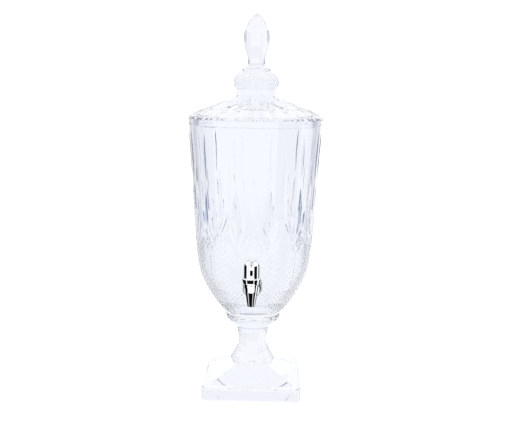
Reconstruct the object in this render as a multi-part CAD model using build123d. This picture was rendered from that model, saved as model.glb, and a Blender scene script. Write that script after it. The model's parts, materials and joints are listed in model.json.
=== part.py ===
"""Footed glass beverage dispenser with a lift-off lid and a chromed lever tap.

Millimetres, +Z up.  The origin is the centre of the foot's underside, and the
tap points to -Y.  Every separate physical piece is written to parts/NAME.step.
"""

from build123d import *
import math
import os

os.makedirs("parts", exist_ok=True)

# ---------------------------------------------------------------- glass foot
PLINTH_SIDE = 140.0
PLINTH_HEIGHT = 19.0
PLINTH_CORNER_RADIUS = 12.0
PLINTH_EDGE_RADIUS = 3.0
PYRAMID_BASE_SIDE = 114.0
PYRAMID_TOP_SIDE = 44.0
PYRAMID_TOP_Z = 40.0
STEM_COLLAR_RADIUS = 32.0
STEM_COLLAR_Z = 43.0
STEM_WAIST_RADIUS = 20.6
STEM_WAIST_Z = 72.0
FOOT_TOP_RADIUS = 38.2
FOOT_TOP_Z = 107.0
GLUE_THICKNESS = 0.3

# ---------------------------------------------------------------- glass bowl
BOWL_BASE_RADIUS = 39.4
BOWL_BASE_Z = FOOT_TOP_Z + GLUE_THICKNESS
RIM_RADIUS = 95.0
RIM_Z = 391.5
BOWL_WALL = 7.0
BOWL_FLOOR_Z = 121.0
BOWL_FLOOR_RADIUS = 26.0
# radius and height of the bowl's outer curve, from the waist to the rim
BOWL_CURVE = [(39.0, 112.0), (57.1, 134.0), (72.4, 161.0), (80.6, 190.0),
              (86.3, 262.0), (91.0, 330.0), (94.6, 374.0), (RIM_RADIUS, RIM_Z)]

# ----------------------------------------------------------------- glass lid
LID_EDGE_THICKNESS = 3.2
LIP_RADIUS = 86.4
LIP_WALL = 4.5
LIP_DEPTH = 10.0
KNOB_NECK_RADIUS = 27.6
KNOB_NECK_Z = 431.0
KNOB_RADIUS = 32.0
KNOB_MID_Z = 442.0
KNOB_TOP_Z = 453.0
KNOB_CAP_RADIUS = 20.0
KNOB_CAP_Z = 457.0
KNOB_CAP_TOP_Z = 462.0
FINIAL_SEAT_RADIUS = 12.4
FINIAL_SEAT_Z = 466.0
FINIAL_RADIUS = 18.4
FINIAL_WIDEST_Z = 502.0
FINIAL_TIP_Z = 535.5

# ----------------------------------------------------------------------- tap
TAP_Y = -98.0
SHANK_Z = 166.0
SHANK_RADIUS = 7.9
SHANK_END_Y = -52.0
SHANK_HOLE_RADIUS = 8.5
WATERWAY_RADIUS = 4.0
BOSS_RADIUS = 12.6
BOSS_FACE_Y = -77.0
INNER_FACE_Y = -68.0
SPOT_FACE_REACH = 20.0
INNER_SPOT_RADIUS = 14.6
OUTER_WASHER_THICKNESS = 2.5
FLANGE_RADIUS = 10.2
FLANGE_THICKNESS = 3.0
INNER_WASHER_THICKNESS = 2.5
SLIP_WASHER_THICKNESS = 1.0
WASHER_RADIUS = 12.0
NUT_ACROSS_FLATS = 24.0
NUT_THICKNESS = 7.0
BARREL_RADIUS = 7.6
FIT_GAP = 0.05

SPOUT_TIP_Z = 147.0
SPOUT_TIP_RADIUS = 5.2
OUTLET_RADIUS = 4.0
SEAT_Z = 159.0
CHAMBER_RADIUS = 5.4
BODY_NECK_RADIUS = 10.2
BODY_NECK_Z = 177.6
BODY_RIM_RADIUS = 11.2
BODY_RIM_THICKNESS = 1.6
BODY_TOP_Z = 180.0
THREAD_RADIUS = 7.4
SPIGOT_BOTTOM_Z = 173.0
BODY_GROOVE_INNER_RADIUS = 8.3
BODY_GROOVE_OUTER_RADIUS = 9.9
BODY_GROOVE_DEPTH = 1.5

# the shield under the bonnet, at the front of the spout
SHIELD_HALF_WIDTH = 4.4
SHIELD_LOW_Z = 167.5
SHIELD_CORNER_RADIUS = 3.4
SHIELD_TOP_Y = TAP_Y - 10.9
SHIELD_FLARE = 1.3
SHIELD_REAR_Y = TAP_Y - 7.5
SHIELD_GROOVE_HALF_WIDTH = 0.5
SHIELD_GROOVE_DEPTH = 1.0
SHIELD_GROOVE_LOW_Z = 175.0

TOWER_RADIUS = 10.7
BONNET_COLLAR_RADIUS = 13.3
BONNET_COLLAR_LOW_RADIUS = 12.0
BONNET_COLLAR_TOP_Z = 186.0
BONNET_COLLAR_BEVEL = 0.8
BONNET_DOME_Z = 201.0
BONNET_TOP_Z = 210.8
SLOT_WIDTH = 6.0
SLOT_FLOOR_Z = 198.0
SLOT_REAR_Y = -86.4
GLAND_RADIUS = 4.5
GLAND_LOW_Z = SPIGOT_BOTTOM_Z + 2.7
GLAND_HEIGHT = 2.0
STEM_RING_RADIUS = 0.98

LEVER_PIVOT_Y = -91.5
LEVER_PIVOT_Z = 204.0
LEVER_ARM_WIDTH = 5.2
LEVER_ARM_HEIGHT = 5.6
LEVER_FORK_GAP = 2.4
LEVER_FORK_REACH = (4.2, 3.4)
LEVER_NOTCH_LOW_Z = LEVER_PIVOT_Z - 1.4
PIVOT_PIN_INSET = 0.4
LIFT_SLOT_PLAY = 0.25
LIFT_SLOT_REACH = (2.6, 1.4)
PADDLE_WIDTH = 7.8
PADDLE_THICKNESS = 2.6
PADDLE_GAP = 0.8
PADDLE_FLARE = 1.3
PADDLE_BOTTOM_Z = 189.6
PADDLE_EDGE_RADIUS = 0.6
PADDLE_CORNER_RADIUS = 1.6
LEVER_TOP_RADIUS = 2.0
RECESS_HALF_WIDTH = 1.9
RECESS_LOW_Z = 190.8
RECESS_HIGH_Z = 199.0
RECESS_LOW_DEPTH = 1.7
RECESS_HIGH_DEPTH = 0.3
PIN_RADIUS = 1.0

STEM_RADIUS = 2.4
STEM_TONGUE_THICKNESS = 2.0
STEM_TONGUE_WIDTH = 4.0
STEM_TOP_Z = 206.0
STEM_DISC_RADIUS = 4.6
STEM_DISC_THICKNESS = 1.2
STEM_SHANK_RADIUS = 1.6
STEM_HEAD_RADIUS = 2.6
STEM_HEAD_LOW = 1.0
STEM_HEAD_HIGH = 2.2
PLUG_RADIUS = 4.9
PLUG_HEIGHT = 4.4
SPRING_MEAN_RADIUS = 3.8
SPRING_WIRE_RADIUS = 0.4
SPRING_TURNS = 4.0


def revolve_outline(points):
    """Solid of revolution about Z from a closed (radius, height) outline."""
    with BuildPart() as part:
        with BuildSketch(Plane.XZ):
            with BuildLine():
                Polyline(*points, close=True)
            make_face()
        revolve(axis=Axis.Z)
    return part.part


def revolve_curves(*runs):
    """Solid of revolution whose outline joins smooth runs with straight lines.

    Each run is a list of (radius, height) points: two points are a straight
    line, more are a smooth curve through them.
    """
    with BuildPart() as part:
        with BuildSketch(Plane.XZ):
            with BuildLine():
                for run in runs:
                    if len(run) == 2:
                        Line(*run)
                    else:
                        Spline(*run)
                for run, following in zip(runs, runs[1:] + runs[:1]):
                    if math.dist(run[-1], following[0]) > 1e-6:
                        Line(run[-1], following[0])
            make_face()
        revolve(axis=Axis.Z)
    return part.part


def inset(points, distance):
    """Move a (radius, height) curve inward, square to itself, by a distance."""
    moved = []
    for index, (radius, height) in enumerate(points):
        before = points[max(index - 1, 0)]
        after = points[min(index + 1, len(points) - 1)]
        run = math.dist(before, after)
        step_r = (after[1] - before[1]) / run
        step_z = (after[0] - before[0]) / run
        moved.append((radius - distance * step_r, height + distance * step_z))
    return moved


def rod(radius, start, end):
    """Round bar of a radius from one point to another."""
    start = Vector(*start)
    axis = Vector(*end) - start
    return extrude(Plane(start, z_dir=axis) * Circle(radius), axis.length)


def tube(outer, inner, start, end):
    """Round tube from one point to another."""
    return rod(outer, start, end) - rod(inner, start, end)


def block(x_range, y_range, z_range):
    """Box given by its lowest and highest coordinate on each axis."""
    size = [high - low for low, high in (x_range, y_range, z_range)]
    low_corner = (x_range[0], y_range[0], z_range[0])
    return Pos(*low_corner) * Box(*size, align=(Align.MIN, Align.MIN, Align.MIN))


def at_tap(solid):
    """Move a solid made about the Z axis onto the tap's vertical axis."""
    return Pos(0, TAP_Y, 0) * solid


# ------------------------------------------------------------------- pieces
def make_foot():
    plinth = Pos(0, 0, PLINTH_HEIGHT / 2) * Box(PLINTH_SIDE, PLINTH_SIDE, PLINTH_HEIGHT)
    plinth = fillet(plinth.edges().filter_by(Axis.Z), PLINTH_CORNER_RADIUS)
    plinth = fillet(plinth.faces().sort_by(Axis.Z)[0].edges(), PLINTH_EDGE_RADIUS)
    plinth = fillet(plinth.faces().sort_by(Axis.Z)[-1].edges(), PLINTH_EDGE_RADIUS)
    low_square = Plane.XY.offset(PLINTH_HEIGHT) * Rectangle(PYRAMID_BASE_SIDE, PYRAMID_BASE_SIDE)
    high_square = Plane.XY.offset(PYRAMID_TOP_Z) * Rectangle(PYRAMID_TOP_SIDE, PYRAMID_TOP_SIDE)
    pyramid = loft([low_square, high_square], ruled=True)
    stem = revolve_curves(
        [(0, FOOT_TOP_Z), (0, PYRAMID_TOP_Z - 1)],
        [(0, PYRAMID_TOP_Z - 1), (STEM_COLLAR_RADIUS - 2, PYRAMID_TOP_Z - 1)],
        [(STEM_COLLAR_RADIUS - 2, PYRAMID_TOP_Z - 1), (STEM_COLLAR_RADIUS, STEM_COLLAR_Z)],
        [(STEM_COLLAR_RADIUS, STEM_COLLAR_Z), (27.6, 52.5), (22.0, 62.0),
         (STEM_WAIST_RADIUS, STEM_WAIST_Z), (22.8, 84.6), (29.5, 96.0),
         (FOOT_TOP_RADIUS, FOOT_TOP_Z - 2)],
        [(FOOT_TOP_RADIUS, FOOT_TOP_Z - 2), (FOOT_TOP_RADIUS, FOOT_TOP_Z)])
    return plinth + pyramid + stem


def make_foot_bond():
    return rod(FOOT_TOP_RADIUS - 2, (0, 0, FOOT_TOP_Z), (0, 0, BOWL_BASE_Z))


def make_bowl():
    inner = inset(BOWL_CURVE[1:], BOWL_WALL)
    inner[-1] = (RIM_RADIUS - BOWL_WALL, RIM_Z)
    shell = revolve_curves(
        [(0, BOWL_BASE_Z), (BOWL_BASE_RADIUS, BOWL_BASE_Z)],
        [(BOWL_BASE_RADIUS, BOWL_BASE_Z), BOWL_CURVE[0]],
        BOWL_CURVE,
        [BOWL_CURVE[-1], inner[-1]],
        inner[::-1] + [(BOWL_FLOOR_RADIUS, BOWL_FLOOR_Z)],
        [(BOWL_FLOOR_RADIUS, BOWL_FLOOR_Z), (0, BOWL_FLOOR_Z)],
        [(0, BOWL_FLOOR_Z), (0, BOWL_BASE_Z)])
    clear_y = SPOT_FACE_REACH
    boss = rod(BOSS_RADIUS, (0, BOSS_FACE_Y, SHANK_Z), (0, INNER_FACE_Y, SHANK_Z))
    outer_spot_face = rod(BOSS_RADIUS, (0, BOSS_FACE_Y, SHANK_Z), (0, BOSS_FACE_Y - clear_y, SHANK_Z))
    inner_spot_face = rod(INNER_SPOT_RADIUS, (0, INNER_FACE_Y, SHANK_Z),
                          (0, INNER_FACE_Y + clear_y, SHANK_Z))
    hole = rod(SHANK_HOLE_RADIUS, (0, BOSS_FACE_Y - clear_y, SHANK_Z), (0, INNER_FACE_Y + clear_y, SHANK_Z))
    return shell + boss - outer_spot_face - inner_spot_face - hole


def make_lid():
    flange_inner = LIP_RADIUS - LIP_WALL
    cone_outer = [(RIM_RADIUS, RIM_Z + LID_EDGE_THICKNESS), (67.8, 407.2), (47.6, 415.5),
                  (33.1, 423.8), (KNOB_NECK_RADIUS, KNOB_NECK_Z)]
    knob_outer = [(KNOB_NECK_RADIUS, KNOB_NECK_Z), (KNOB_RADIUS, KNOB_MID_Z), (27.1, KNOB_TOP_Z)]
    inner = [(flange_inner, RIM_Z - LIP_DEPTH), (flange_inner, RIM_Z), (66.0, 401.5),
             (45.5, 410.0), (30.0, 418.5), (21.5, 428.0), (20.0, 440.0), (0, 447.0)]
    body = revolve_curves(
        cone_outer,
        knob_outer,
        [(27.1, KNOB_TOP_Z), (KNOB_CAP_RADIUS, KNOB_CAP_Z)],
        [(KNOB_CAP_RADIUS, KNOB_CAP_Z), (KNOB_CAP_RADIUS, KNOB_CAP_TOP_Z)],
        [(KNOB_CAP_RADIUS, KNOB_CAP_TOP_Z), (FINIAL_SEAT_RADIUS, FINIAL_SEAT_Z)],
        [(FINIAL_SEAT_RADIUS, FINIAL_SEAT_Z), (0, FINIAL_SEAT_Z)],
        [(0, FINIAL_SEAT_Z), inner[-1]],
        inner[:0:-1],
        [inner[1], inner[0]],
        [inner[0], (LIP_RADIUS, RIM_Z - LIP_DEPTH)],
        [(LIP_RADIUS, RIM_Z - LIP_DEPTH), (LIP_RADIUS, RIM_Z)],
        [(LIP_RADIUS, RIM_Z), (RIM_RADIUS, RIM_Z)],
        [(RIM_RADIUS, RIM_Z), (RIM_RADIUS, RIM_Z + LID_EDGE_THICKNESS)])
    return body


def make_finial_bond():
    return rod(FINIAL_SEAT_RADIUS - 1, (0, 0, FINIAL_SEAT_Z), (0, 0, FINIAL_SEAT_Z + GLUE_THICKNESS))


def make_finial():
    bottom = FINIAL_SEAT_Z + GLUE_THICKNESS
    return revolve_curves(
        [(0, bottom), (FINIAL_SEAT_RADIUS, bottom)],
        [(FINIAL_SEAT_RADIUS, bottom), (12.2, 473.0), (16.2, 485.5), (FINIAL_RADIUS, FINIAL_WIDEST_Z),
         (14.8, 518.0), (7.6, 530.0), (0, FINIAL_TIP_Z)],
        [(0, FINIAL_TIP_Z), (0, bottom)])


def shank_stack():
    """Positions along Y of the joint faces of the tap's fixing, outside to inside."""
    flange_rear = BOSS_FACE_Y - OUTER_WASHER_THICKNESS
    slip_start = INNER_FACE_Y + INNER_WASHER_THICKNESS
    nut_start = slip_start + SLIP_WASHER_THICKNESS
    return flange_rear, slip_start, nut_start


def side_wedge(half_width, outline):
    """Solid of an even width across X from an outline of (y, z) points."""
    with BuildPart() as part:
        with BuildSketch(Plane.YZ):
            with BuildLine():
                Polyline(*outline, close=True)
            make_face()
        extrude(amount=half_width, both=True)
    return part.part


def make_shield():
    """Raised shield on the front of the spout, leaning out at its foot."""
    foot_y = SHIELD_TOP_Y - SHIELD_FLARE
    shield = side_wedge(SHIELD_HALF_WIDTH, [
        (SHIELD_REAR_Y, SHIELD_LOW_Z), (foot_y, SHIELD_LOW_Z), (SHIELD_TOP_Y, BODY_TOP_Z - 0.4),
        (SHIELD_REAR_Y, BODY_TOP_Z - 0.4)])
    shield = fillet(shield.edges().filter_by(Axis.Y).group_by(Axis.Z)[0], SHIELD_CORNER_RADIUS)
    groove = block((-SHIELD_GROOVE_HALF_WIDTH, SHIELD_GROOVE_HALF_WIDTH),
                   (foot_y, SHIELD_TOP_Y + SHIELD_GROOVE_DEPTH), (SHIELD_GROOVE_LOW_Z, BODY_TOP_Z))
    return shield - groove


def make_tap_body():
    flange_rear, _, _ = shank_stack()
    flange_front = flange_rear - FLANGE_THICKNESS
    outside = at_tap(revolve_outline([
        (0, SPOUT_TIP_Z), (SPOUT_TIP_RADIUS, SPOUT_TIP_Z), (BODY_NECK_RADIUS, BODY_NECK_Z),
        (BODY_RIM_RADIUS, BODY_TOP_Z - BODY_RIM_THICKNESS), (BODY_RIM_RADIUS, BODY_TOP_Z), (0, BODY_TOP_Z)]))
    barrel = rod(BARREL_RADIUS, (0, TAP_Y, SHANK_Z), (0, flange_front, SHANK_Z))
    flange = rod(FLANGE_RADIUS, (0, flange_front, SHANK_Z), (0, flange_rear, SHANK_Z))
    shank = rod(SHANK_RADIUS, (0, flange_rear, SHANK_Z), (0, SHANK_END_Y, SHANK_Z))
    solid = outside + barrel + flange + shank + make_shield()
    outlet = at_tap(rod(OUTLET_RADIUS, (0, 0, SPOUT_TIP_Z), (0, 0, SEAT_Z)))
    chamber = at_tap(rod(CHAMBER_RADIUS, (0, 0, SEAT_Z), (0, 0, SPIGOT_BOTTOM_Z)))
    thread = at_tap(rod(THREAD_RADIUS, (0, 0, SPIGOT_BOTTOM_Z), (0, 0, BODY_TOP_Z)))
    waterway = rod(WATERWAY_RADIUS, (0, TAP_Y, SHANK_Z), (0, SHANK_END_Y, SHANK_Z))
    ring_groove = at_tap(tube(BODY_GROOVE_OUTER_RADIUS, BODY_GROOVE_INNER_RADIUS,
                              (0, 0, BODY_TOP_Z - BODY_GROOVE_DEPTH), (0, 0, BODY_TOP_Z)))
    return solid - outlet - chamber - thread - waterway - ring_groove


def make_bonnet_o_ring():
    section = BODY_GROOVE_DEPTH / 2
    middle = (BODY_GROOVE_INNER_RADIUS + BODY_GROOVE_OUTER_RADIUS) / 2
    return at_tap(Pos(0, 0, BODY_TOP_Z - section) * Torus(middle, section))


def make_tower_bar(inset_by):
    """Upright bar of the tower's radius less an inset, over the tower's whole height."""
    return at_tap(rod(TOWER_RADIUS - inset_by, (0, 0, BONNET_COLLAR_TOP_Z), (0, 0, BONNET_TOP_Z)))


def make_tap_bonnet():
    spigot = rod(THREAD_RADIUS - FIT_GAP, (0, 0, SPIGOT_BOTTOM_Z), (0, 0, BODY_TOP_Z))
    collar = revolve_outline([
        (0, BODY_TOP_Z), (BONNET_COLLAR_LOW_RADIUS, BODY_TOP_Z),
        (BONNET_COLLAR_RADIUS, BONNET_COLLAR_TOP_Z - BONNET_COLLAR_BEVEL),
        (BONNET_COLLAR_RADIUS - BONNET_COLLAR_BEVEL, BONNET_COLLAR_TOP_Z), (0, BONNET_COLLAR_TOP_Z)])
    tower = revolve_curves(
        [(0, BONNET_COLLAR_TOP_Z), (TOWER_RADIUS, BONNET_COLLAR_TOP_Z)],
        [(TOWER_RADIUS, BONNET_COLLAR_TOP_Z), (TOWER_RADIUS, BONNET_DOME_Z)],
        [(TOWER_RADIUS, BONNET_DOME_Z), (9.2, 206.0), (5.5, 209.6), (0, BONNET_TOP_Z)],
        [(0, BONNET_TOP_Z), (0, BONNET_COLLAR_TOP_Z)])
    solid = at_tap(spigot + collar + tower)
    half_slot = SLOT_WIDTH / 2
    beyond_front = TAP_Y - 2 * TOWER_RADIUS
    slot = block((-half_slot, half_slot), (beyond_front, SLOT_REAR_Y), (SLOT_FLOOR_Z, BONNET_TOP_Z + 1))
    bore = at_tap(rod(STEM_RADIUS + FIT_GAP, (0, 0, SPIGOT_BOTTOM_Z), (0, 0, SLOT_FLOOR_Z)))
    gland = at_tap(rod(GLAND_RADIUS, (0, 0, GLAND_LOW_Z), (0, 0, GLAND_LOW_Z + GLAND_HEIGHT)))
    return solid - slot - bore - gland - pivot_bar(PIN_RADIUS, TOWER_RADIUS)


def pivot_bar(radius, half_length):
    """Round bar along the lever's pivot axis, centred on the tap."""
    left = (-half_length, LEVER_PIVOT_Y, LEVER_PIVOT_Z)
    right = (half_length, LEVER_PIVOT_Y, LEVER_PIVOT_Z)
    return rod(radius, left, right)


def make_stem_o_ring():
    middle = STEM_RADIUS + FIT_GAP + STEM_RING_RADIUS
    return at_tap(Pos(0, 0, GLAND_LOW_Z + GLAND_HEIGHT / 2) * Torus(middle, STEM_RING_RADIUS))


def make_lever_pivot_pin():
    return pivot_bar(PIN_RADIUS, TOWER_RADIUS) & make_tower_bar(PIVOT_PIN_INSET)


def make_tap_lever():
    half_arm = LEVER_ARM_WIDTH / 2
    half_height = LEVER_ARM_HEIGHT / 2
    arm_top = LEVER_PIVOT_Z + half_height
    back_y = TAP_Y - TOWER_RADIUS - PADDLE_GAP
    front_y = back_y - PADDLE_THICKNESS
    paddle_height = arm_top - PADDLE_BOTTOM_Z

    def front_at(z):
        return front_y - PADDLE_FLARE * (arm_top - z) / paddle_height

    arm = block((-half_arm, half_arm), (back_y - PADDLE_THICKNESS / 2, LEVER_PIVOT_Y),
                (LEVER_PIVOT_Z - half_height, arm_top))
    paddle = side_wedge(PADDLE_WIDTH / 2, [
        (back_y, arm_top), (back_y - PADDLE_FLARE, PADDLE_BOTTOM_Z),
        (front_y - PADDLE_FLARE, PADDLE_BOTTOM_Z), (front_y, arm_top)])
    paddle = fillet(paddle.edges().filter_by(Axis.Y).group_by(Axis.Z)[0], PADDLE_CORNER_RADIUS)
    paddle = fillet(paddle.edges().filter_by(Axis.X).group_by(Axis.Z)[-1].sort_by(Axis.Y)[0], LEVER_TOP_RADIUS)
    paddle = fillet(paddle.faces().sort_by(Axis.Y)[0].edges(), PADDLE_EDGE_RADIUS)
    lever = pivot_bar(half_height, half_arm) + arm + paddle
    half_gap = LEVER_FORK_GAP / 2
    fork = block((-half_gap, half_gap), (TAP_Y - LEVER_FORK_REACH[0], TAP_Y + LEVER_FORK_REACH[1]),
                 (PADDLE_BOTTOM_Z, BONNET_TOP_Z))
    notch = block((-half_gap, half_gap), (front_at(PADDLE_BOTTOM_Z), TAP_Y),
                  (LEVER_NOTCH_LOW_Z, BONNET_TOP_Z))
    slot_half = PIN_RADIUS + LIFT_SLOT_PLAY
    slot = block((-half_arm, half_arm), (TAP_Y - LIFT_SLOT_REACH[0], TAP_Y + LIFT_SLOT_REACH[1]),
                 (LEVER_PIVOT_Z - slot_half, LEVER_PIVOT_Z + slot_half))
    outside_y = front_at(PADDLE_BOTTOM_Z) - 1
    recess = side_wedge(RECESS_HALF_WIDTH, [
        (outside_y, RECESS_LOW_Z), (front_at(RECESS_LOW_Z) + RECESS_LOW_DEPTH, RECESS_LOW_Z),
        (front_at(RECESS_HIGH_Z) + RECESS_HIGH_DEPTH, RECESS_HIGH_Z), (outside_y, RECESS_HIGH_Z)])
    return lever - fork - notch - pivot_bar(PIN_RADIUS + FIT_GAP, half_arm) - slot - recess


def make_lift_pin():
    half = LEVER_ARM_WIDTH / 2
    return rod(PIN_RADIUS, (-half, TAP_Y, LEVER_PIVOT_Z), (half, TAP_Y, LEVER_PIVOT_Z))


def stem_grip():
    """Lower end of the stem, which the soft plug is moulded around."""
    shank = rod(STEM_SHANK_RADIUS, (0, 0, SEAT_Z + STEM_HEAD_HIGH), (0, 0, SEAT_Z + PLUG_HEIGHT))
    head = rod(STEM_HEAD_RADIUS, (0, 0, SEAT_Z + STEM_HEAD_LOW), (0, 0, SEAT_Z + STEM_HEAD_HIGH))
    return shank + head


def make_valve_stem():
    plug_top = SEAT_Z + PLUG_HEIGHT
    shaft = rod(STEM_RADIUS, (0, 0, plug_top), (0, 0, SLOT_FLOOR_Z))
    disc = rod(STEM_DISC_RADIUS, (0, 0, plug_top), (0, 0, plug_top + STEM_DISC_THICKNESS))
    half = STEM_TONGUE_THICKNESS / 2
    half_width = STEM_TONGUE_WIDTH / 2
    tongue = block((-half, half), (-half_width, half_width), (SLOT_FLOOR_Z, STEM_TOP_Z))
    cross_hole = rod(PIN_RADIUS, (-half, 0, LEVER_PIVOT_Z), (half, 0, LEVER_PIVOT_Z))
    return at_tap(shaft + disc + stem_grip() + tongue - cross_hole)


def make_valve_plug():
    return at_tap(rod(PLUG_RADIUS, (0, 0, SEAT_Z), (0, 0, SEAT_Z + PLUG_HEIGHT)) - stem_grip())


def make_valve_spring():
    bottom = SEAT_Z + PLUG_HEIGHT + STEM_DISC_THICKNESS + SPRING_WIRE_RADIUS
    height = SPIGOT_BOTTOM_Z - SPRING_WIRE_RADIUS - bottom
    path = Helix(pitch=height / SPRING_TURNS, height=height, radius=SPRING_MEAN_RADIUS)
    section = Plane(path @ 0, z_dir=path % 0) * Circle(SPRING_WIRE_RADIUS)
    return at_tap(Pos(0, 0, bottom) * sweep(section, path=path, is_frenet=True))


def make_outer_seal_washer():
    flange_rear, _, _ = shank_stack()
    return tube(FLANGE_RADIUS, SHANK_RADIUS + FIT_GAP, (0, flange_rear, SHANK_Z), (0, BOSS_FACE_Y, SHANK_Z))


def make_inner_seal_washer():
    _, slip_start, _ = shank_stack()
    return tube(WASHER_RADIUS, SHANK_RADIUS + FIT_GAP, (0, INNER_FACE_Y, SHANK_Z), (0, slip_start, SHANK_Z))


def make_slip_washer():
    _, slip_start, nut_start = shank_stack()
    return tube(WASHER_RADIUS, SHANK_RADIUS + FIT_GAP, (0, slip_start, SHANK_Z), (0, nut_start, SHANK_Z))


def make_shank_nut():
    _, _, nut_start = shank_stack()
    face = Plane((0, nut_start, SHANK_Z), z_dir=(0, 1, 0))
    hexagon = RegularPolygon(NUT_ACROSS_FLATS / 2, 6, major_radius=False)
    solid = extrude(face * hexagon, NUT_THICKNESS)
    hole = rod(SHANK_RADIUS + FIT_GAP, (0, nut_start, SHANK_Z), (0, nut_start + NUT_THICKNESS, SHANK_Z))
    return solid - hole


PIECES = {
    "foot": make_foot,
    "foot_bond": make_foot_bond,
    "bowl": make_bowl,
    "lid": make_lid,
    "finial_bond": make_finial_bond,
    "finial": make_finial,
    "tap_body": make_tap_body,
    "bonnet_o_ring": make_bonnet_o_ring,
    "tap_bonnet": make_tap_bonnet,
    "stem_o_ring": make_stem_o_ring,
    "lever_pivot_pin": make_lever_pivot_pin,
    "tap_lever": make_tap_lever,
    "lift_pin": make_lift_pin,
    "valve_stem": make_valve_stem,
    "valve_plug": make_valve_plug,
    "valve_spring": make_valve_spring,
    "outer_seal_washer": make_outer_seal_washer,
    "inner_seal_washer": make_inner_seal_washer,
    "slip_washer": make_slip_washer,
    "shank_nut": make_shank_nut,
}

for name, make in PIECES.items():
    export_step(make(), f"parts/{name}.step")
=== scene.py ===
import json
import math

import bmesh
import bpy
import numpy as np
from mathutils import Matrix, Vector


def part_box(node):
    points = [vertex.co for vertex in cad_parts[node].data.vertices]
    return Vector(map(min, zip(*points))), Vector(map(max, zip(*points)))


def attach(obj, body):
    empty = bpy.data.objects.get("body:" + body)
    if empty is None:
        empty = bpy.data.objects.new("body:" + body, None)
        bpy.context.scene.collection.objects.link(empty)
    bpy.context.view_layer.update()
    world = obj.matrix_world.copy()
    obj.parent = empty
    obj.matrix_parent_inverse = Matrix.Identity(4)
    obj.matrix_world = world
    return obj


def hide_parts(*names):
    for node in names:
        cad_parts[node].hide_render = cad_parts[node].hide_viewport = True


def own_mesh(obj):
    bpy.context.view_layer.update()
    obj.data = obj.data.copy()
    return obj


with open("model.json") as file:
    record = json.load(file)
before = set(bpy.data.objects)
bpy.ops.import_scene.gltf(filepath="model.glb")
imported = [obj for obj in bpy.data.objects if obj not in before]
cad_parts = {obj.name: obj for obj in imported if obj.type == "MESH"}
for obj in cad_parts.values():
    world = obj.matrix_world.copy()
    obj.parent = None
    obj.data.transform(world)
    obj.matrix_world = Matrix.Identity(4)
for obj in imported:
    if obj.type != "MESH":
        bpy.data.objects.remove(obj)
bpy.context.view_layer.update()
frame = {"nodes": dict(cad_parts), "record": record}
NODES = frame["nodes"]
MM = 0.001


def box_mm(node_name):
    """Lowest and highest corner of a CAD node at rest, in millimetres."""
    return [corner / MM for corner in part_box(node_name)]


BOWL_LOW, BOWL_HIGH = box_mm("bowl")
FOOT_HIGH = box_mm("foot")[1]
LID_LOW, LID_HIGH = box_mm("lid")
FINIAL_LOW, FINIAL_HIGH = box_mm("finial")
WASHER_LOW, WASHER_HIGH = box_mm("outer_seal_washer")
INNER_LOW, INNER_HIGH = box_mm("inner_seal_washer")
SHANK_Z = (WASHER_LOW.z + WASHER_HIGH.z) / 2
RIM_Z = BOWL_HIGH.z
RIM_RADIUS = LID_HIGH.x - 0.1

COLUMNS = 360  # points round each ring of the cut glass
SMALL_COLUMNS = 96  # and round the films and the floor
CYLINDER_COLUMNS = 64  # and round the cutters of the tap's seat
FINE_STEPS = 40  # samples of a smooth curve between two of its given points
ALIKE = 0.02  # two diagonals this near in length count as equal
SHARP_DEG = 5.0  # edges of the cut glass that turn more than this stay crisp
STEM_SHARP_DEG = 12.0
FINIAL_SHARP_DEG = 14.0
FILM_SHARP_DEG = 30.0


# ------------------------------------------------------------------ curves
def arc_of(curve):
    """Distance along a curve to each of its points, as a column."""
    return np.concatenate([[0], np.cumsum(np.hypot(*np.diff(curve, axis=0).T))])[:, None]


def smooth_curve(points, steps):
    """Points spaced evenly along a smooth curve through the given points."""
    pts = np.array(points, float)
    ends = np.vstack([2 * pts[0] - pts[1], pts, 2 * pts[-1] - pts[-2]])
    fine = []
    t = np.linspace(0, 1, FINE_STEPS, endpoint=False)[:, None]
    for i in range(len(pts) - 1):
        a, b, c, d = ends[i:i + 4]
        fine.append(0.5 * (2 * b + (c - a) * t + (2 * a - 5 * b + 4 * c - d) * t ** 2
                           + (3 * b - a - 3 * c + d) * t ** 3))
    fine = np.vstack(fine + [pts[-1:]])
    run = arc_of(fine)[:, 0]
    at = np.linspace(0, run[-1], steps)
    return np.column_stack([np.interp(at, run, fine[:, k]) for k in (0, 1)])


def straight(start, end, steps):
    """Points spaced evenly on the line between two points, the first left out."""
    t = np.linspace(0, 1, steps + 1)[1:, None]
    return np.array(start, float) * (1 - t) + np.array(end, float) * t


def normals_of(curve):
    """Unit normals of a (radius, height) curve, to its right as it runs."""
    tangent = np.gradient(curve, axis=0)
    tangent /= np.maximum(np.hypot(*tangent.T), 1e-9)[:, None]
    return np.column_stack([tangent[:, 1], -tangent[:, 0]])


# ------------------------------------------------------------- ring meshes
def angles(columns=COLUMNS):
    """Angle of each column, from the tap's direction towards +X."""
    return np.arange(columns) * 2 * math.pi / columns


def ring_points(curve, depth=None, columns=COLUMNS):
    """Rings of points for a (radius, height) curve, cut inward by depth along its normal."""
    phi = angles(columns)
    radius = np.repeat(curve[:, :1], columns, axis=1)
    height = np.repeat(curve[:, 1:], columns, axis=1)
    if depth is not None:
        normal = normals_of(curve)
        radius = radius - depth * normal[:, :1]
        height = height - depth * normal[:, 1:]
    return np.stack([radius * np.sin(phi), -radius * np.cos(phi), height], axis=-1)


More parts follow.
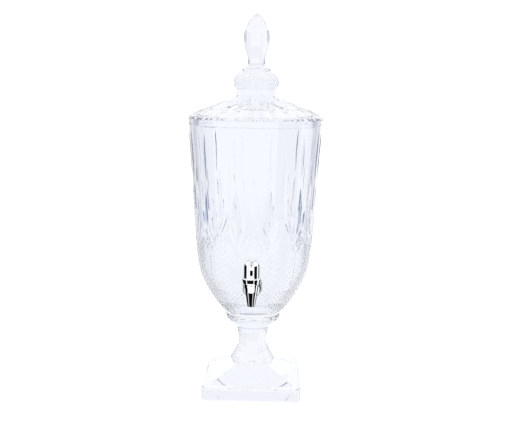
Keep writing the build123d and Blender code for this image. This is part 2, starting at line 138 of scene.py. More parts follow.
def skin(name, rings):
    """Closed mesh through rings of points, with a fan of triangles closing each end."""
    count, columns, _ = rings.shape
    vertices = rings.reshape(-1, 3)
    caps = np.array([rings[0].mean(axis=0), rings[-1].mean(axis=0)])
    index = np.arange(count * columns).reshape(count, columns)
    here, there = index[:-1], index[1:]
    corners = [here, np.roll(here, -1, axis=1), np.roll(there, -1, axis=1), there]
    quads = np.stack(corners, axis=-1).reshape(-1, 4)
    rows = np.repeat(np.arange(count - 1), columns)
    cols = np.tile(np.arange(columns), count - 1)
    use_ac = choose_diagonals(vertices, quads, (rows + cols) % 2 == 0)
    first = np.where(use_ac[:, None], quads[:, [0, 1, 2]], quads[:, [0, 1, 3]])
    second = np.where(use_ac[:, None], quads[:, [0, 2, 3]], quads[:, [1, 2, 3]])
    low, high = len(vertices), len(vertices) + 1
    first_ring, last_ring = index[0], index[-1]
    cap_low = np.column_stack([np.full(columns, low), np.roll(first_ring, -1), first_ring])
    cap_high = np.column_stack([np.full(columns, high), last_ring, np.roll(last_ring, -1)])
    faces = np.vstack([first, second, cap_low, cap_high])
    return make_mesh(name, np.vstack([vertices, caps]), faces)


def choose_diagonals(points, quads, fallback):
    """True where a quad splits from its first corner: the shorter way, or the fallback."""
    ac = np.linalg.norm(points[quads[:, 0]] - points[quads[:, 2]], axis=1)
    bd = np.linalg.norm(points[quads[:, 1]] - points[quads[:, 3]], axis=1)
    return np.where(np.abs(ac - bd) > ALIKE * (ac + bd), ac < bd, fallback)


def link_new(name, mesh):
    piece = bpy.data.objects.new(name, mesh)
    bpy.context.scene.collection.objects.link(piece)
    return piece


def make_mesh(name, vertices, faces):
    """Object from points in millimetres, without slivers and with its faces turned outwards."""
    mesh = bpy.data.meshes.new(name)
    mesh.from_pydata((vertices * MM).tolist(), [], faces.tolist())
    mesh.validate()
    work = bmesh.new()
    work.from_mesh(mesh)
    bmesh.ops.dissolve_degenerate(work, dist=1e-6, edges=work.edges)
    bmesh.ops.recalc_face_normals(work, faces=work.faces)
    work.to_mesh(mesh)
    work.free()
    return link_new(name, mesh)


def sharpen(piece, degrees=SHARP_DEG):
    """Smooth shading, except across edges that turn more than an angle."""
    mesh = piece.data
    mesh.polygons.foreach_set("use_smooth", [True] * len(mesh.polygons))
    mesh.set_sharp_from_angle(angle=math.radians(degrees))


def carve(piece, tool, operation):
    """Applies a boolean of one mesh on another and removes the tool."""
    modifier = piece.modifiers.new("carve", "BOOLEAN")
    modifier.operation = operation
    modifier.object = tool
    modifier.solver = "MANIFOLD"
    graph = bpy.context.evaluated_depsgraph_get()
    piece.data = bpy.data.meshes.new_from_object(piece.evaluated_get(graph))
    piece.modifiers.clear()
    bpy.data.objects.remove(tool)


def cylinder_along_y(name, radius, y_start, y_end, z):
    """Closed cylinder between two places on Y, in millimetres."""
    curve = np.array([[radius, 0.0], [radius, 1.0]])
    rings = ring_points(curve, columns=CYLINDER_COLUMNS)
    points = rings.copy()
    points[..., 1] = y_start + (y_end - y_start) * rings[..., 2]
    points[..., 2] = z + rings[..., 1]
    return skin(name, points)


# ------------------------------------------------------------- cut patterns
SECTORS = 12
HALF_SECTOR = 180.0 / SECTORS
DIAMOND_DEG = 6.0
DIAMOND_MM = 9.0
DIAMOND_DEPTH = 0.42
DIAMOND_ROWS = 6  # rings of points over the height of one diamond
LATTICE_LOW_Z = 122.0
LATTICE_HIGH_Z = 242.0
LATTICE_FADE = 1.5  # height over which the diamonds begin and end
ARCH_APEX_Z = 238.0
ARCH_SLOPE = 10.0  # straight part of the fall from an arch's apex to its foot
ARCH_SWEEP = 17.0  # curved part of that fall
ARCH_POWER = 2.5
STUD_DEG = 9.0
STUD_MM = 5.2
STUD_DEPTH = 0.9
STUD_FADE = 2.0


def lattice(column_deg, arc, wide=DIAMOND_DEG, tall=DIAMOND_MM):
    """Four-sided points packed edge to edge: 0 at each point's tip and 1 in the grooves."""
    a = column_deg / wide
    b = arc / tall
    plus = np.abs((a + b) % 1 - 0.5)
    minus = np.abs((a - b) % 1 - 0.5)
    return 2 * np.maximum(plus, minus)


def arch_height(column_deg):
    """Height of the pointed arches that bound the diamonds, for each angle from the tap."""
    from_apex = np.abs((column_deg + HALF_SECTOR) % (2 * HALF_SECTOR) - HALF_SECTOR) / HALF_SECTOR
    return ARCH_APEX_Z - ARCH_SLOPE * from_apex - ARCH_SWEEP * from_apex ** ARCH_POWER


def bowl_diamonds(outer):
    """Depth of the diamonds on the bowl's outside, for each ring and column."""
    phi = np.degrees(angles())[None, :]
    z = outer[:, 1:]
    below_arch = np.clip((arch_height(phi) - z) / LATTICE_FADE, 0, 1)
    above_foot = np.clip((z - LATTICE_LOW_Z) / LATTICE_FADE, 0, 1)
    return DIAMOND_DEPTH * lattice(phi, arc_of(outer)) * (below_arch * above_foot)


def place_on(curve, key):
    """Function that finds a surface's point and normal, from an angle and one coordinate."""
    order = np.argsort(curve[:, key])
    line = curve[order]
    normal = normals_of(curve)[order]

    def at(degrees, value):
        radius, height = (np.interp(value, line[:, key], line[:, k]) for k in (0, 1))
        out, rise = (np.interp(value, line[:, key], normal[:, k]) for k in (0, 1))
        turn = math.radians(degrees)
        around = np.array([math.sin(turn), -math.cos(turn), 0])
        up = np.array([0, 0, 1.0])
        direction = around * out + up * rise
        return around * radius + up * height, direction / np.linalg.norm(direction)
    return at


CUT_STEPS = 11
CUT_OVERSHOOT = 1.3  # how far a wheel's flanks run on past the surface
CUT_BACK = 0.5  # how much more than its depth a wheel stands off the surface
CUT_THINNEST = 0.004  # share of its width that a cut keeps at its ends
CUT_TAPER = 0.8  # power of the swell from a cut's ends to its middle
CUT_BLUNTING = 0.6  # how far blunt brings that power down


def wheel_cut(at, path, half_width, depth, start_deg=0.0, blunt=0.0):
    """V-shaped cuts, one in each sector, that follow a path of (angle, coordinate).

    A cut narrows and rises to nothing at both ends; blunt, from 0 to 1, keeps it wide longer.
    """
    if len(path) > 2:
        path = smooth_curve(path, CUT_STEPS)
    else:
        path = np.linspace(*np.array(path, float), CUT_STEPS)
    swell = np.sin(math.pi * np.linspace(0, 1, CUT_STEPS)) ** (CUT_TAPER - CUT_BLUNTING * blunt)
    vertices, faces = [], []
    for sector in range(SECTORS):
        turn = sector * 2 * HALF_SECTOR
        turned = [at(degrees + start_deg + turn, value) for degrees, value in path]
        middles = np.array([point for point, _ in turned])
        along = np.gradient(middles, axis=0)
        rings = []
        for (centre, out), ahead, share in zip(turned, along, swell):
            side = np.cross(out, ahead)
            side /= np.linalg.norm(side)
            share = max(share, CUT_THINNEST)
            wide = side * half_width * share * CUT_OVERSHOOT
            proud = out * depth * share * (CUT_OVERSHOOT - 1)
            rings.append([centre + wide + proud, centre - out * depth * share,
                          centre - wide + proud,
                          centre + out * (depth * share + CUT_BACK * share)])
        first = len(vertices)
        vertices.extend(point for ring in rings for point in ring)
        for i in range(CUT_STEPS - 1):
            for j in range(4):
                a, b = first + 4 * i + j, first + 4 * i + (j + 1) % 4
                faces.append((a, b, b + 4, a + 4))
        last = first + 4 * (CUT_STEPS - 1)
        faces.append((first + 3, first + 2, first + 1, first))
        faces.append((last, last + 1, last + 2, last + 3))
    mesh = bpy.data.meshes.new("wheel")
    mesh.from_pydata([tuple(v * MM) for v in vertices], [], faces)
    work = bmesh.new()
    work.from_mesh(mesh)
    bmesh.ops.triangulate(work, faces=work.faces)
    bmesh.ops.recalc_face_normals(work, faces=work.faces)
    work.to_mesh(mesh)
    work.free()
    return link_new("wheel", mesh)


def bowl_wheels(outer):
    """Every pass of the cutting wheel on the bowl: arches, fans of leaves and long spears."""
    at = place_on(outer, 1)
    valley = HALF_SECTOR
    for side in (-1, 1):
        arch = [(side * 0.6, 239.5), (side * 5, 236), (side * 10, 227), (side * 13.6, 211)]
        yield wheel_cut(at, arch, half_width=1.6, depth=0.8, blunt=0.5)
        inner_leaf = [(side * 0.9, 217), (side * 8.2, 270)]
        yield wheel_cut(at, inner_leaf, half_width=4.8, depth=2.2, start_deg=valley)
        outer_leaf = [(side * 1.4, 211), (side * 13.0, 243)]
        yield wheel_cut(at, outer_leaf, half_width=3.8, depth=1.9, start_deg=valley)
    stalk, middle_leaf = [(0, 214), (0, 146)], [(0, 219), (0, 303)]
    yield wheel_cut(at, stalk, half_width=1.6, depth=0.9, start_deg=valley, blunt=0.4)
    yield wheel_cut(at, middle_leaf, half_width=6.8, depth=2.9, start_deg=valley)
    upper_spear, long_spear = [(0, 308), (0, 376)], [(0, 250), (0, 334)]
    yield wheel_cut(at, upper_spear, half_width=3.2, depth=1.0, start_deg=valley)
    yield wheel_cut(at, long_spear, half_width=2.8, depth=0.8)


# ------------------------------------------------------------------- pieces
# Outlines below are (radius, height) points in millimetres, from the object's axis and base.
BOWL_CORE = 8.0  # radius inside which the bowl's flat ends close in a fan
BOWL_WALL = 7.0
BOWL_SIDE_SHIFT = 6.6  # the inner outline's distance inside the outer one, along the radius
BOWL_FOOT_RADIUS = 39.4
BOWL_FLOOR_Z = 121.0
BOWL_CURVE = [(39.0, 112.0), (57.1, 134.0), (72.4, 161.0), (80.6, 190.0),
              (86.3, 262.0), (91.0, 330.0), (94.1, 374.0), (94.4, 382.6)]
BOWL_BAND_Z = 382.0  # lower edge of the plain band at the rim
TAP_HOLE_RADIUS = 8.5
CUTTER_REACH = 20.0  # how far the cutters of the tap's seat run out past the glass


def bowl_inside():
    """Inner outline, from above the floor up to the rim: the outer one moved in by the wall."""
    outline = []
    for radius, z in BOWL_CURVE[1:-1]:
        lift = 3.6 if z < 140 else 1.6 if z < 200 else 0.3
        outline.append((radius - BOWL_SIDE_SHIFT, z + lift))
    return smooth_curve(outline + [(RIM_RADIUS - BOWL_WALL, RIM_Z - 0.8)], steps=34)


def cut_tap_seat(bowl):
    """Boss with a flat ground face on each side of the wall, and the hole for the shank."""
    spot = WASHER_HIGH.x + 2.5
    inner_spot = INNER_HIGH.x + 2.6
    face_y, inner_y = WASHER_HIGH.y, INNER_LOW.y
    out_y, in_y = face_y - CUTTER_REACH, inner_y + CUTTER_REACH
    for name, radius, y_start, y_end, operation in [
            ("boss", spot, face_y, inner_y, "UNION"),
            ("outer_face", spot + 0.4, out_y, face_y, "DIFFERENCE"),
            ("inner_face", inner_spot, inner_y, in_y, "DIFFERENCE"),
            ("hole", TAP_HOLE_RADIUS, out_y, in_y, "DIFFERENCE")]:
        carve(bowl, cylinder_along_y(name, radius, y_start, y_end, SHANK_Z), operation)


def make_bowl():
    low = BOWL_LOW.z
    outer = smooth_curve(BOWL_CURVE, steps=400)
    in_lattice = outer[outer[:, 1] < LATTICE_HIGH_Z]
    above = outer[outer[:, 1] >= LATTICE_HIGH_Z]
    lattice_arc = np.hypot(*np.diff(in_lattice, axis=0).T).sum()
    in_lattice = smooth_curve(in_lattice[::8].tolist() + [in_lattice[-1].tolist()],
                              steps=round(lattice_arc / (DIAMOND_MM / DIAMOND_ROWS)))
    depth = bowl_diamonds(in_lattice)
    inner = bowl_inside()
    foot_edge = BOWL_FOOT_RADIUS - 0.5
    foot_part = np.vstack([[[BOWL_CORE, low]], straight((BOWL_CORE, low), (foot_edge, low), 3),
                           [[BOWL_FOOT_RADIUS, low + 0.5], [BOWL_FOOT_RADIUS, low + 3.2]]])
    rim = np.array([[94.5, 382.6], [94.9, 383.8], [94.95, 389.8], [94.7, RIM_Z - 0.5],
                    [94.0, RIM_Z], [89.0, RIM_Z], [88.4, RIM_Z - 0.4]])
    floor = smooth_curve([inner[0], (36.0, 124.0), (22.0, BOWL_FLOOR_Z),
                          (BOWL_CORE, BOWL_FLOOR_Z)], steps=14)
    plain = above[above[:, 1] < BOWL_BAND_Z][::9]
    rings = np.concatenate([ring_points(foot_part), ring_points(in_lattice, depth),
                            ring_points(plain), ring_points(rim),
                            ring_points(inner[::-1]), ring_points(floor[1:])])
    bowl = skin("bowl_glass", rings)
    for wheel in bowl_wheels(outer):
        carve(bowl, wheel, "DIFFERENCE")
    cut_tap_seat(bowl)
    sharpen(bowl)
    return bowl


def square_radius(phi, half_side, corner):
    """Distance from the centre to a rounded square's side, for each angle."""
    turned = (phi + math.pi / 4) % (math.pi / 2) - math.pi / 4
    flat = half_side / np.cos(turned)
    centre = half_side - corner
    towards = math.pi / 4 - np.abs(turned)
    reach = centre * math.sqrt(2)
    offset = reach * np.sin(towards)
    inside = np.maximum(corner ** 2 - offset ** 2, 0)
    rounded = reach * np.cos(towards) + np.sqrt(inside)
    on_corner = half_side * np.tan(np.abs(turned)) > centre
    return np.where(on_corner, rounded, flat)


def octagon_radius(phi, half_width):
    """Distance from the centre to a regular octagon's side, for each angle."""
    turned = (phi + math.pi / 8) % (2 * math.pi / 8) - math.pi / 8
    return half_width / np.cos(turned)


def shaped_ring(radius, z):
    """Ring of points whose radius or height may change from column to column."""
    phi = angles()
    radius = np.broadcast_to(radius, phi.shape)
    z = np.broadcast_to(z, phi.shape)
    return np.stack([radius * np.sin(phi), -radius * np.cos(phi), z], axis=-1)


PYRAMID_WIDE, PYRAMID_NARROW = 57.0, 23.5  # half widths at its bottom and top
PYRAMID_LOW_Z, PYRAMID_RISE = 20.0, 18.6
COLLAR_Z, COLLAR_WAVE = 41.0, 2.6  # the collar dips over each corner of the pyramid
TURNINGS = [(29.6, 48.5), (27.0, 53.0), (26.6, 54.0), (25.4, 55.8), (25.2, 57.0),
            (24.2, 57.6), (24.0, 59.4), (23.2, 60.0), (22.9, 62.5)]
STEM_LOW_Z, STEM_RISE = 64.5, 20.5
STEM_HALF_WIDTH, STEM_RADIUS = 20.0, 22.9
STEM_WAIST, STEM_SPREAD = 0.42, 5.4  # share of the rise where it is narrowest, and its widening


def make_foot():
    phi = angles()
    half, top = FOOT_HIGH.x, FOOT_HIGH.z
    rings = []
    for side, z, corner in [(8, 0, 1), (40, 0, 6), (half - 3, 0, 9), (half - 0.9, 0.9, 11),
                            (half, 3.0, 12), (half, 9.5, 12), (half, 16.5, 12),
                            (half - 0.7, 18.3, 11.6), (half - 2.2, 19.0, 11),
                            (half - 11.5, 19.3, 4.0)]:
        rings.append(shaped_ring(square_radius(phi, side, corner), z))
    for t in np.linspace(0, 1, 9):
        side = PYRAMID_WIDE + (PYRAMID_NARROW - PYRAMID_WIDE) * t
        z = PYRAMID_LOW_Z + PYRAMID_RISE * t
        rings.append(shaped_ring(square_radius(phi, side, 1.0), z))
    collar = COLLAR_Z + COLLAR_WAVE * np.cos(4 * phi)
    for radius, rise in [(31.4, 0.0), (32.0, 1.2), (31.6, 2.4)]:
        rings.append(shaped_ring(radius, collar + rise))
    for radius, z in TURNINGS:
        rings.append(shaped_ring(radius, z))
    for t in np.linspace(0, 1, 7):
        flats = octagon_radius(phi, STEM_HALF_WIDTH + STEM_SPREAD * (t - STEM_WAIST) ** 2)
        rings.append(shaped_ring(np.minimum(flats, STEM_RADIUS), STEM_LOW_Z + STEM_RISE * t))
    flare = smooth_curve([(23.4, 87.0), (26.6, 93.0), (32.9, 98.8), (37.4, 103.2),
                          (38.1, top - 0.6)], steps=12)
    for radius, z in [*flare, (37.6, top), (10.0, top)]:
        rings.append(shaped_ring(radius, z))
    foot = skin("foot_glass", np.array(rings))
    sharpen(foot, STEM_SHARP_DEG)
    return foot


def lid_wheels(cone):
    """Petals and slim leaves cut into the lid's cone, placed by distance from the axis."""
    at = place_on(cone, 0)
    petal, between, slim_leaf = [(0, 42), (0, 93.5)], [(0, 57), (0, 94)], [(0, 31), (0, 60)]
    yield wheel_cut(at, petal, half_width=8.6, depth=1.5)
    yield wheel_cut(at, between, half_width=6.4, depth=1.2, start_deg=HALF_SECTOR)
    yield wheel_cut(at, slim_leaf, half_width=3.6, depth=0.8, start_deg=HALF_SECTOR)


def hobnails(curve):
    """Depth between the small pointed studs of the knob."""
    phi = np.degrees(angles())[None, :]
    arc = arc_of(curve)
    fade = np.clip(np.minimum(arc, arc[-1] - arc) / STUD_FADE, 0, 1)
    return STUD_DEPTH * lattice(phi, arc, STUD_DEG, STUD_MM) * fade


SEAT_CLEARANCE = 0.06  # keeps the lid's glass off the rim's, so that light crosses both cleanly
LID_EDGE = 3.2  # thickness of the lid's outer edge
LIP_OUTER, LIP_INNER = 86.4, 81.9


def make_lid():
    edge_z = RIM_Z + LID_EDGE
    seat_z = RIM_Z + SEAT_CLEARANCE
    lip_low, top = LID_LOW.z, LID_HIGH.z
    inner = smooth_curve([(LIP_INNER, seat_z), (66.0, 401.5), (45.5, 410.0), (30.0, 418.5),
                          (21.5, 428.0), (20.0, 438.0), (16.0, 444.5), (6.0, 446.8)], steps=46)
    lip = np.array([[94.2, seat_z], [86.6, seat_z], [LIP_OUTER, RIM_Z - 0.6],
                    [LIP_OUTER, lip_low + 1.2], [85.2, lip_low], [83.2, lip_low],
                    [LIP_INNER, lip_low + 1.2]])
    edge = np.array([[RIM_RADIUS, RIM_Z + 0.5], [RIM_RADIUS, edge_z - 0.4]])
    cone = smooth_curve([(94.6, edge_z), (67.8, 407.2), (47.6, 415.5), (33.1, 423.8),
                         (28.0, 430.2)], steps=56)
    ball = smooth_curve([(27.6, 431.6), (30.4, 435.4), (32.0, 441.4), (31.2, 446.8),
                         (27.1, 453.0), (22.6, 455.6)], steps=40)
    cap = np.array([[20.0, 456.6], [20.6, 457.4], [20.6, 458.8], [19.6, 461.0], [17.6, 462.2],
                    [15.4, 463.2], [13.2, 464.8], [12.6, top], [5.0, top]])
    rings = np.concatenate([ring_points(inner[::-1]), ring_points(lip[::-1]), ring_points(edge),
                            ring_points(cone[::2]), ring_points(ball, hobnails(ball)),
                            ring_points(cap)])
    lid = skin("lid_glass", rings)
    for wheel in lid_wheels(cone):
        carve(lid, wheel, "DIFFERENCE")
    sharpen(lid)
    return lid


FLATS_LOW_Z = 474.0  # where the finial's eight flats begin
FLATS_FADE_IN, FLATS_FADE_OUT = 14.0, 12.0
FLATS_SHARE = 0.955  # half width of the octagon over the round body's radius


def make_finial():
    low, high = FINIAL_LOW.z, FINIAL_HIGH.z
    phi = angles()
    body = smooth_curve([(12.4, low + 0.6), (12.2, 473.0), (14.2, 480.6), (17.2, 489.5),
                         (18.4, 502.0), (17.4, 511.0), (14.8, 518.0), (10.6, 526.0),
                         (6.6, 531.4), (1.2, high)], steps=70)
    rings = [shaped_ring(4.0, low), shaped_ring(11.9, low)]
    for radius, z in body:
        begun = np.clip((z - FLATS_LOW_Z) / FLATS_FADE_IN, 0, 1)
        share = begun * np.clip((high - z) / FLATS_FADE_OUT, 0, 1)
        cut = np.minimum(radius, octagon_radius(phi, radius * FLATS_SHARE))
        rings.append(shaped_ring(cut * share + radius * (1 - share), z))
    finial = skin("finial_glass", np.array(rings))
    sharpen(finial, FINIAL_SHARP_DEG)
    return finial


FILM_CLEARANCE = 0.05
FILM_CORE = 0.5  # share of the film's radius inside which its faces close in a fan


def make_film(name, node_name):
    """Cured glue between two glass faces, just clear of both so that light crosses cleanly."""
    low, high = box_mm(node_name)
    bottom, top = low.z + FILM_CLEARANCE, high.z - FILM_CLEARANCE
    edge = high.x
    outline = np.array([[edge * FILM_CORE, bottom], [edge - 0.1, bottom],
                        [edge, (bottom + top) / 2],
                        [edge - 0.1, top], [edge * FILM_CORE, top]])
    film = skin(name, ring_points(outline, columns=SMALL_COLUMNS))
    sharpen(film, FILM_SHARP_DEG)
    return film


def make_coil():
    """The closing spring: a copy of its solid."""
    coil = link_new("spring_coil", NODES["valve_spring"].data.copy())
    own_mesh(coil)
    return coil


# ---------------------------------------------------------------- materials
NOISE_DETAIL = 3.0

# Colour, further sockets of the shader, and the noise: scale, both roughnesses, bump in metres.
FINISHES = {
    "clear_glass": ((0.990, 0.993, 1.0), {"Transmission Weight": 1.0, "IOR": 1.5},
                    (45.0, 0.0, 0.012, 0.00004)),
    "chrome": ((0.86, 0.87, 0.88), {"Metallic": 1.0}, (120.0, 0.03, 0.07, 0.0)),
    "stainless": ((0.62, 0.62, 0.63), {"Metallic": 1.0}, (400.0, 0.08, 0.16, 0.0)),
    "silicone": ((0.83, 0.84, 0.86), {"Transmission Weight": 0.35, "IOR": 1.41},
                 (300.0, 0.35, 0.5, 0.0)),
    "nylon": ((0.88, 0.88, 0.87), {"Subsurface Weight": 0.1}, (250.0, 0.4, 0.55, 0.0)),
    "adhesive": ((0.96, 0.97, 1.0), {"Transmission Weight": 1.0, "IOR": 1.5},
                 (200.0, 0.02, 0.08, 0.0)),
}


def principled(name, colour, sockets):
    material = bpy.data.materials.new(name)
    material.use_nodes = True
    shader = material.node_tree.nodes["Principled BSDF"]
    shader.inputs["Base Color"].default_value = (*colour, 1)
    for socket, value in sockets.items():
        shader.inputs[socket].default_value = value
    return material, shader


def add_noise(material, shader, scale, low, high, bump):
    """Roughness that wanders between two values, and a faint bump, from one noise."""
    tree = material.node_tree
    place = tree.nodes.new("ShaderNodeTexCoord")
    noise = tree.nodes.new("ShaderNodeTexNoise")
    noise.inputs["Scale"].default_value = scale
    noise.inputs["Detail"].default_value = NOISE_DETAIL
    spread = tree.nodes.new("ShaderNodeMapRange")
    spread.inputs["To Min"].default_value = low
    spread.inputs["To Max"].default_value = high
    tree.links.new(place.outputs["Object"], noise.inputs["Vector"])
    tree.links.new(noise.outputs["Fac"], spread.inputs["Value"])
    tree.links.new(spread.outputs["Result"], shader.inputs["Roughness"])
    if bump:
        relief = tree.nodes.new("ShaderNodeBump")
        relief.inputs["Strength"].default_value = 1.0
        relief.inputs["Distance"].default_value = bump
        tree.links.new(noise.outputs["Fac"], relief.inputs["Height"])
        tree.links.new(relief.outputs["Normal"], shader.inputs["Normal"])


def make_materials():
    made = {}
    for name, (colour, sockets, noise) in FINISHES.items():
        made[name], shader = principled(name, colour, sockets)
        add_noise(made[name], shader, *noise)
    return made


MATERIALS = make_materials()
SLOT_OF = {part["node"]: part["material_slot"] for part in frame["record"]["subparts"]}


def dress(piece, slot):
    piece.data.materials.clear()
    piece.data.materials.append(MATERIALS[slot])


def dress_solids():
    """Gives every CAD solid the material of its slot."""
    for node_name, node in NODES.items():
        material = MATERIALS[SLOT_OF[node_name]]
        if not node.material_slots:
            node.data.materials.append(material)
        for holder in node.material_slots:
            holder.material = material


def stand_in(piece, body, node_name, slot):
    """Puts a shaped piece in the place of a CAD node, on the body it moves with."""
    dress(piece, slot)
    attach(piece, body)
    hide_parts(node_name)


dress_solids()
stand_in(make_bowl(), "dispenser", "bowl", "clear_glass")
stand_in(make_foot(), "dispenser", "foot", "clear_glass")
stand_in(make_film("foot_film", "foot_bond"), "dispenser", "foot_bond", "adhesive")
stand_in(make_coil(), "dispenser", "valve_spring", "stainless")
stand_in(make_lid(), "lid", "lid", "clear_glass")
stand_in(make_finial(), "lid", "finial", "clear_glass")
stand_in(make_film("finial_film", "finial_bond"), "lid", "finial_bond", "adhesive")

# -------------------------------------------------------------------- stage
FLOOR_RADIUS_MM = 900.0
FLOOR_LOW_Z, FLOOR_HIGH_Z = -0.6, -0.1
FLOOR_FINISH = {"Roughness": 0.6, "Emission Color": (0.97, 0.975, 1.0, 1),
                "Emission Strength": 0.6}


def make_floor():
    """White table just below the foot, lit from within so that it burns out to the backdrop."""
    curve = np.array([[FLOOR_RADIUS_MM, FLOOR_LOW_Z], [FLOOR_RADIUS_MM, FLOOR_HIGH_Z]])
    floor = skin("floor", ring_points(curve, columns=SMALL_COLUMNS))
    material, _ = principled("floor_white", (0.93, 0.935, 0.95), FLOOR_FINISH)
    floor.data.materials.append(material)
    floor.visible_glossy = False
    floor.visible_transmission = False


# The studio's walls, as the camera, rays through glass and mirror reflections meet them.
# All angles are in degrees.  Compass angles run from the tap's side towards +X, and heights
# from the horizon.  Each soft edge is the angle over which one colour turns to the next.
BACKDROP = (1.2, 1.2, 1.2)
GLASS_SURROUND = (0.925, 0.938, 0.990)
GLASS_OVERHEAD = (0.90, 0.92, 0.97)
GLASS_ACCENT = (0.20, 0.28, 0.45)
GLASS_STRIPS = [(-134, -124), (124, 134)]
GLASS_STRIPS_SOFT = 4
GLASS_STRIP_HEIGHTS = (-14, 6)
GLASS_STRIP_ENDS_SOFT = 5
GLASS_OVERHEAD_FROM = 38
GLASS_OVERHEAD_SOFT = 15
MIRROR_BRIGHT = (1.25, 1.25, 1.27)
MIRROR_DARK = (0.004, 0.004, 0.005)
MIRROR_STRIPS = [(-150, -76), (40, 84), (112, 144)]
MIRROR_STRIPS_SOFT = 2
MIRROR_STRIPS_TOP = 16
MIRROR_TOP_SOFT = 4
MIRROR_LOW_STRIP = (-62, 28)
MIRROR_LOW_HEIGHTS = (-62, -19)
MIRROR_LOW_SOFT = 3
PAST_ZENITH = 120
BLACK, WHITE = (0, 0, 0), (1, 1, 1)


def angle_ramp(tree, angle, strips, plain, inside, soft):
    """Colour for each angle: plain, with another colour between each pair of angles."""
    node = tree.nodes.new("ShaderNodeValToRGB")
    ramp = node.color_ramp
    ramp.elements[0].color = (*plain, 1)
    ramp.elements[1].color = (*plain, 1)
    for low, high in strips:
        for degrees, colour in [(low - soft, plain), (low, inside),
                                (high, inside), (high + soft, plain)]:
            stop = ramp.elements.new((degrees + 180) / 360)
            stop.color = (*colour, 1)
    tree.links.new(angle, node.inputs["Fac"])
    return node.outputs["Color"]


# Places of a colour mix's sockets, which share their names with its other kinds of mix.
MIX_FACTOR, MIX_FIRST, MIX_SECOND, MIX_RESULT = 0, 6, 7, 2


def mix_colours(tree, factor, first, second):
    """Mix of two colours, each a plain colour or another node's output."""
    node = tree.nodes.new("ShaderNodeMix")
    node.data_type = "RGBA"
    tree.links.new(factor, node.inputs[MIX_FACTOR])
    for place, colour in ((MIX_FIRST, first), (MIX_SECOND, second)):
        if isinstance(colour, tuple):
            node.inputs[place].default_value = (*colour, 1)
        else:
            tree.links.new(colour, node.inputs[place])
    return node.outputs[MIX_RESULT]


def calculate(tree, operation, *values):
    """A math node's result, from numbers and other nodes' outputs."""
    node = tree.nodes.new("ShaderNodeMath")
    node.operation = operation
    for socket, value in zip(node.inputs, values):
        if isinstance(value, float):
            socket.default_value = value
        else:
            tree.links.new(value, socket)
    return node.outputs["Value"]


def in_turns(tree, angle):
    """Angle in radians from -pi to pi, as 0 to 1 for a ramp."""
    return calculate(tree, "ADD", calculate(tree, "DIVIDE", angle, 2 * math.pi), 0.5)


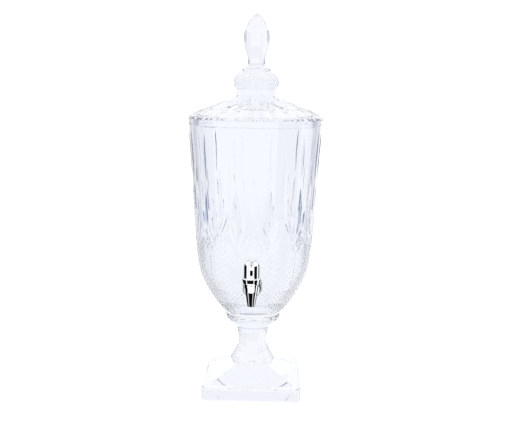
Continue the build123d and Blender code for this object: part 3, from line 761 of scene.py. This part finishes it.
def make_world():
    world = bpy.data.worlds.new("studio")
    bpy.context.scene.world = world
    world.use_nodes = True
    tree = world.node_tree
    tree.nodes.clear()
    output = tree.nodes.new("ShaderNodeOutputWorld")
    background = tree.nodes.new("ShaderNodeBackground")
    place = tree.nodes.new("ShaderNodeTexCoord")
    split = tree.nodes.new("ShaderNodeSeparateXYZ")
    tree.links.new(place.outputs["Generated"], split.inputs["Vector"])
    towards_tap = calculate(tree, "MULTIPLY", split.outputs["Y"], -1.0)
    compass = in_turns(tree, calculate(tree, "ARCTAN2", split.outputs["X"], towards_tap))
    height = in_turns(tree, calculate(tree, "ARCSINE", split.outputs["Z"]))

    def band(low, high, soft):
        return angle_ramp(tree, height, [(low, high)], BLACK, WHITE, soft)

    at_strips = band(*GLASS_STRIP_HEIGHTS, GLASS_STRIP_ENDS_SOFT)
    accents = angle_ramp(tree, compass, GLASS_STRIPS, GLASS_SURROUND, GLASS_ACCENT,
                         GLASS_STRIPS_SOFT)
    through = mix_colours(tree, at_strips, GLASS_SURROUND, accents)
    overhead = band(GLASS_OVERHEAD_FROM + GLASS_OVERHEAD_SOFT, PAST_ZENITH, GLASS_OVERHEAD_SOFT)
    through = mix_colours(tree, overhead, through, GLASS_OVERHEAD)
    low_down = band(*MIRROR_LOW_HEIGHTS, MIRROR_LOW_SOFT)
    level = angle_ramp(tree, compass, MIRROR_STRIPS, MIRROR_BRIGHT, MIRROR_DARK,
                       MIRROR_STRIPS_SOFT)
    below = angle_ramp(tree, compass, MIRROR_STRIPS + [MIRROR_LOW_STRIP], MIRROR_BRIGHT,
                       MIRROR_DARK, MIRROR_STRIPS_SOFT)
    mirrored = mix_colours(tree, low_down, level, below)
    high_up = band(MIRROR_STRIPS_TOP, PAST_ZENITH, MIRROR_TOP_SOFT)
    mirrored = mix_colours(tree, high_up, mirrored, MIRROR_BRIGHT)
    path = tree.nodes.new("ShaderNodeLightPath")
    colour = mix_colours(tree, path.outputs["Is Glossy Ray"], through, mirrored)
    # A refracted ray also counts as glossy, so what the glass shows is mixed in after it.
    colour = mix_colours(tree, path.outputs["Is Transmission Ray"], colour, through)
    colour = mix_colours(tree, path.outputs["Is Camera Ray"], colour, BACKDROP)
    tree.links.new(colour, background.inputs["Color"])
    tree.links.new(background.outputs["Background"], output.inputs["Surface"])


CAMERA_DISTANCE = 1.157
CAMERA_HEIGHT = 0.448
CAMERA_AZIMUTH, CAMERA_TILT, CAMERA_ROLL = (math.radians(turn) for turn in (1.5, 9.25, 0.8))
CAMERA_SENSOR_MM = 36.0
CAMERA_LENS_MM = 58.0
CAMERA_NEAREST = 0.01
MOST_BOUNCES = 32
MOST_GLOSSY_BOUNCES = 16


def make_camera():
    """Camera in front of the tap, a little above the bowl and tilted down."""
    data = bpy.data.cameras.new("camera")
    camera = bpy.data.objects.new("camera", data)
    bpy.context.scene.collection.objects.link(camera)
    bpy.context.scene.camera = camera
    data.sensor_width = CAMERA_SENSOR_MM
    data.lens = CAMERA_LENS_MM
    data.clip_start = CAMERA_NEAREST
    across, away = math.sin(CAMERA_AZIMUTH), math.cos(CAMERA_AZIMUTH)
    level = math.cos(CAMERA_TILT)
    forward = Vector((-across * level, away * level, -math.sin(CAMERA_TILT)))
    place = Vector((across * CAMERA_DISTANCE, -away * CAMERA_DISTANCE, CAMERA_HEIGHT))
    roll = Matrix.Rotation(CAMERA_ROLL, 3, "Z")
    turn = forward.to_track_quat("-Z", "Y").to_matrix() @ roll
    camera.matrix_world = Matrix.Translation(place) @ turn.to_4x4()


make_floor()
make_world()
make_camera()
scene = bpy.context.scene
scene.view_settings.view_transform = "Standard"
scene.cycles.max_bounces = MOST_BOUNCES
scene.cycles.transmission_bounces = MOST_BOUNCES
scene.cycles.glossy_bounces = MOST_GLOSSY_BOUNCES
